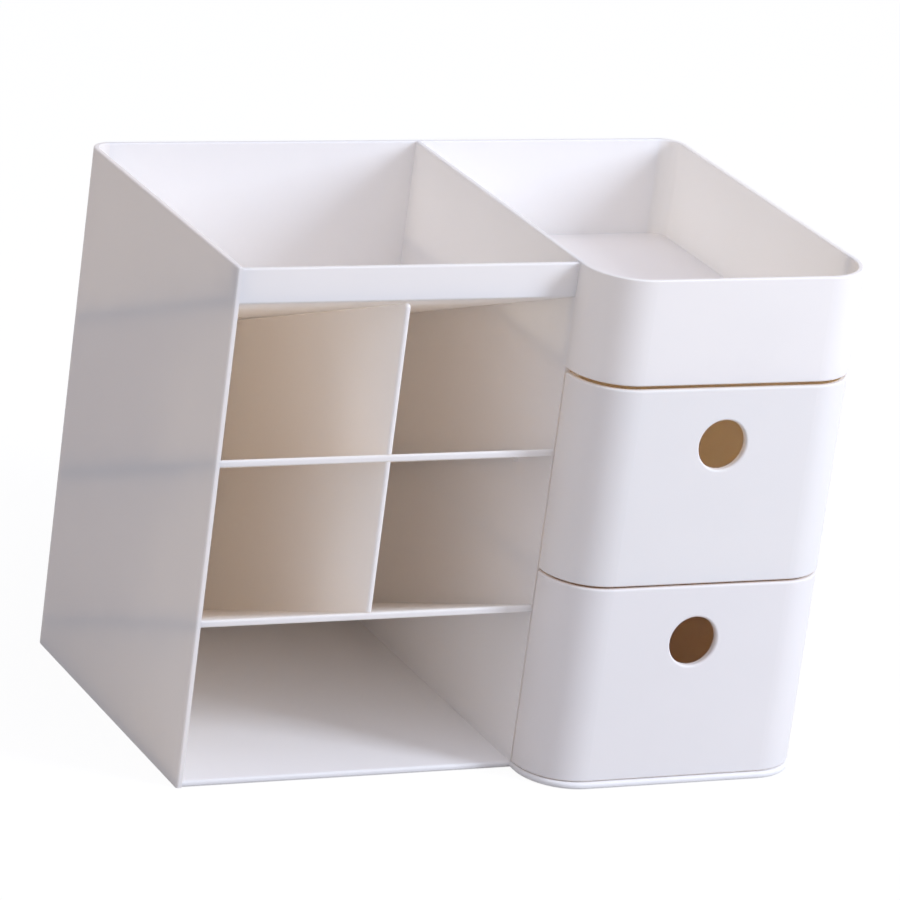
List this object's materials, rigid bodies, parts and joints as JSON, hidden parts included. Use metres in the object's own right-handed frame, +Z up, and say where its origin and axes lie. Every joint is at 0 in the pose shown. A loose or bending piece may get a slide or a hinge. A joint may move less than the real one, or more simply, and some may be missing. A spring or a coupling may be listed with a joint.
{
  "type": "desk organizer",
  "caption": "Free-standing desk organizer: open cells and a bin with sloped floors beside a drawer tower with wrap-around fronts, finger holes and an open tray on top.",
  "frame": {"origin": "on the resting plane, under the middle of the outline", "axes": "+Z up, -Y towards the user, +X from the cell block to the drawer tower"},
  "size_m": [0.25, 0.171, 0.2],
  "materials": {
    "shell_plastic": "satin moulded white",
    "base_plastic": "satin moulded white",
    "insert_plastic": "satin moulded white",
    "drawer_plastic": "satin moulded white"
  },
  "bodies": {
    "cabinet": {"base_plate": "base_plastic", "left_wall": "shell_plastic", "right_wall": "shell_plastic", "back_panel": "shell_plastic", "center_wall": "shell_plastic", "bin_front_bar": "shell_plastic", "bin_floor": "insert_plastic", "middle_shelf": "insert_plastic", "lower_shelf": "insert_plastic", "upper_cell_divider": "insert_plastic", "lower_cell_divider": "insert_plastic", "left_shelf_ledge": "insert_plastic", "right_shelf_ledge": "insert_plastic", "top_tray": "shell_plastic", "drawer_deck": "insert_plastic"},
    "upper_drawer": {"upper_drawer": "drawer_plastic"},
    "lower_drawer": {"lower_drawer": "drawer_plastic"}
  },
  "joints": [
    {"name": "upper_drawer_slide", "type": "slide", "parent": "cabinet", "child": "upper_drawer", "axis": [0, -1, 0], "range_m": [0, 0.11]},
    {"name": "lower_drawer_slide", "type": "slide", "parent": "cabinet", "child": "lower_drawer", "axis": [0, -1, 0], "range_m": [0, 0.11]}
  ]
}
